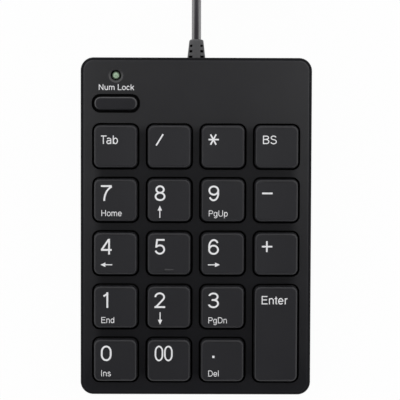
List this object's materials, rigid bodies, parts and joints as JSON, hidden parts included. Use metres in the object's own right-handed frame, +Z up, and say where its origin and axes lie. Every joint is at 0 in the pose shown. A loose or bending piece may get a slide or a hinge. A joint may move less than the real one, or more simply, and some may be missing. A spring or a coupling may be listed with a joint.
{
  "type": "numeric keypad",
  "caption": "Corded desk keypad: low sloping case with a field of square sprung keys, a tall enter key, a small num lock key with a light, and a coiled cord with a flat plug.",
  "frame": {"origin": "on the desk, under the middle of the case", "axes": "+X to the right of the person typing, +Y to the back where the cord leaves, +Z up"},
  "size_m": [0.0953, 0.2328, 0.0214],
  "materials": {
    "case_plastic": "fine-grained black",
    "key_plastic": "fine-grained black",
    "guide_plastic": "plain black",
    "dome_rubber": "translucent",
    "foot_rubber": "matt",
    "contact_film": "clear",
    "sheet_steel": "plain",
    "screw_steel": "plain",
    "board_laminate": "green lacquer",
    "chip_plastic": "moulded",
    "lamp_plastic": "pale green, translucent",
    "connector_plastic": "natural white",
    "wire_insulation": "plain",
    "cord_jacket": "satin black",
    "plug_plastic": "satin black",
    "plug_steel": "nickel plated",
    "tongue_plastic": "white",
    "contact_metal": "gold plated",
    "legend_ink": "printed white"
  },
  "bodies": {
    "case": {"top_cover": "case_plastic", "bottom_cover": "case_plastic", "guide_plate": "guide_plastic", "dome_sheet": "dome_rubber", "upper_film": "contact_film", "spacer_film": "contact_film", "lower_film": "contact_film", "backing_plate": "sheet_steel", "controller_board": "board_laminate", "controller_chip": "chip_plastic", "quartz_crystal": "sheet_steel", "filter_capacitor": "chip_plastic", "status_light": "lamp_plastic", "tail_clamp": "sheet_steel", "board_screws": "screw_steel", "case_screws": "screw_steel", "rubber_feet": "foot_rubber", "wire_connector": "connector_plastic", "signal_wires": "wire_insulation", "cord_stub": "cord_jacket", "strain_relief": "cord_jacket", "cord_lead": "cord_jacket", "cord_coil": "cord_jacket", "cord_tail": "cord_jacket", "cord_tie": "plug_plastic", "plug_grip": "plug_plastic", "plug_shell": "plug_steel", "plug_tongue": "tongue_plastic", "plug_contacts": "contact_metal"},
    "tab_key": {"key_tab": "key_plastic"},
    "divide_key": {"key_divide": "key_plastic"},
    "multiply_key": {"key_multiply": "key_plastic"},
    "backspace_key": {"key_backspace": "key_plastic"},
    "7_key": {"key_7": "key_plastic"},
    "8_key": {"key_8": "key_plastic"},
    "9_key": {"key_9": "key_plastic"},
    "minus_key": {"key_minus": "key_plastic"},
    "4_key": {"key_4": "key_plastic"},
    "5_key": {"key_5": "key_plastic"},
    "6_key": {"key_6": "key_plastic"},
    "plus_key": {"key_plus": "key_plastic"},
    "1_key": {"key_1": "key_plastic"},
    "2_key": {"key_2": "key_plastic"},
    "3_key": {"key_3": "key_plastic"},
    "enter_key": {"key_enter": "key_plastic"},
    "0_key": {"key_0": "key_plastic"},
    "00_key": {"key_00": "key_plastic"},
    "decimal_key": {"key_decimal": "key_plastic"},
    "num_lock_key": {"key_num_lock": "key_plastic"},
    "enter_wire": {"enter_stabilizer": "sheet_steel"}
  },
  "joints": [
    {"name": "press_tab", "type": "slide", "parent": "case", "child": "tab_key", "axis": [0, 0.0698, -0.9976], "range_m": [0, 0.0022], "stiffness_N_per_m": 220, "springref_m": -0.001, "deforming": ["dome_sheet"]},
    {"name": "press_divide", "type": "slide", "parent": "case", "child": "divide_key", "axis": [0, 0.0698, -0.9976], "range_m": [0, 0.0022], "stiffness_N_per_m": 220, "springref_m": -0.001, "deforming": ["dome_sheet"]},
    {"name": "press_multiply", "type": "slide", "parent": "case", "child": "multiply_key", "axis": [0, 0.0698, -0.9976], "range_m": [0, 0.0022], "stiffness_N_per_m": 220, "springref_m": -0.001, "deforming": ["dome_sheet"]},
    {"name": "press_backspace", "type": "slide", "parent": "case", "child": "backspace_key", "axis": [0, 0.0698, -0.9976], "range_m": [0, 0.0022], "stiffness_N_per_m": 220, "springref_m": -0.001, "deforming": ["dome_sheet"]},
    {"name": "press_7", "type": "slide", "parent": "case", "child": "7_key", "axis": [0, 0.0698, -0.9976], "range_m": [0, 0.0022], "stiffness_N_per_m": 220, "springref_m": -0.001, "deforming": ["dome_sheet"]},
    {"name": "press_8", "type": "slide", "parent": "case", "child": "8_key", "axis": [0, 0.0698, -0.9976], "range_m": [0, 0.0022], "stiffness_N_per_m": 220, "springref_m": -0.001, "deforming": ["dome_sheet"]},
    {"name": "press_9", "type": "slide", "parent": "case", "child": "9_key", "axis": [0, 0.0698, -0.9976], "range_m": [0, 0.0022], "stiffness_N_per_m": 220, "springref_m": -0.001, "deforming": ["dome_sheet"]},
    {"name": "press_minus", "type": "slide", "parent": "case", "child": "minus_key", "axis": [0, 0.0698, -0.9976], "range_m": [0, 0.0022], "stiffness_N_per_m": 220, "springref_m": -0.001, "deforming": ["dome_sheet"]},
    {"name": "press_4", "type": "slide", "parent": "case", "child": "4_key", "axis": [0, 0.0698, -0.9976], "range_m": [0, 0.0022], "stiffness_N_per_m": 220, "springref_m": -0.001, "deforming": ["dome_sheet"]},
    {"name": "press_5", "type": "slide", "parent": "case", "child": "5_key", "axis": [0, 0.0698, -0.9976], "range_m": [0, 0.0022], "stiffness_N_per_m": 220, "springref_m": -0.001, "deforming": ["dome_sheet"]},
    {"name": "press_6", "type": "slide", "parent": "case", "child": "6_key", "axis": [0, 0.0698, -0.9976], "range_m": [0, 0.0022], "stiffness_N_per_m": 220, "springref_m": -0.001, "deforming": ["dome_sheet"]},
    {"name": "press_plus", "type": "slide", "parent": "case", "child": "plus_key", "axis": [0, 0.0698, -0.9976], "range_m": [0, 0.0022], "stiffness_N_per_m": 220, "springref_m": -0.001, "deforming": ["dome_sheet"]},
    {"name": "press_1", "type": "slide", "parent": "case", "child": "1_key", "axis": [0, 0.0698, -0.9976], "range_m": [0, 0.0022], "stiffness_N_per_m": 220, "springref_m": -0.001, "deforming": ["dome_sheet"]},
    {"name": "press_2", "type": "slide", "parent": "case", "child": "2_key", "axis": [0, 0.0698, -0.9976], "range_m": [0, 0.0022], "stiffness_N_per_m": 220, "springref_m": -0.001, "deforming": ["dome_sheet"]},
    {"name": "press_3", "type": "slide", "parent": "case", "child": "3_key", "axis": [0, 0.0698, -0.9976], "range_m": [0, 0.0022], "stiffness_N_per_m": 220, "springref_m": -0.001, "deforming": ["dome_sheet"]},
    {"name": "press_enter", "type": "slide", "parent": "case", "child": "enter_key", "axis": [0, 0.0698, -0.9976], "range_m": [0, 0.0022], "stiffness_N_per_m": 220, "springref_m": -0.001, "deforming": ["dome_sheet"]},
    {"name": "press_0", "type": "slide", "parent": "case", "child": "0_key", "axis": [0, 0.0698, -0.9976], "range_m": [0, 0.0022], "stiffness_N_per_m": 220, "springref_m": -0.001, "deforming": ["dome_sheet"]},
    {"name": "press_00", "type": "slide", "parent": "case", "child": "00_key", "axis": [0, 0.0698, -0.9976], "range_m": [0, 0.0022], "stiffness_N_per_m": 220, "springref_m": -0.001, "deforming": ["dome_sheet"]},
    {"name": "press_decimal", "type": "slide", "parent": "case", "child": "decimal_key", "axis": [0, 0.0698, -0.9976], "range_m": [0, 0.0022], "stiffness_N_per_m": 220, "springref_m": -0.001, "deforming": ["dome_sheet"]},
    {"name": "press_num_lock", "type": "slide", "parent": "case", "child": "num_lock_key", "axis": [0, 0.0698, -0.9976], "range_m": [0, 0.001], "stiffness_N_per_m": 220, "springref_m": -0.001, "deforming": ["dome_sheet"]},
    {"name": "turn_enter_wire", "type": "hinge", "parent": "case", "child": "enter_wire", "pos_m": [0.02337, -0.03846, 0.01086], "axis": [0, 0.9976, 0.0698], "range_deg": [0, 19]}
  ],
  "couplings": [
    {"joint": "turn_enter_wire", "follows": "press_enter", "rad_per_m": 149.93}
  ]
}
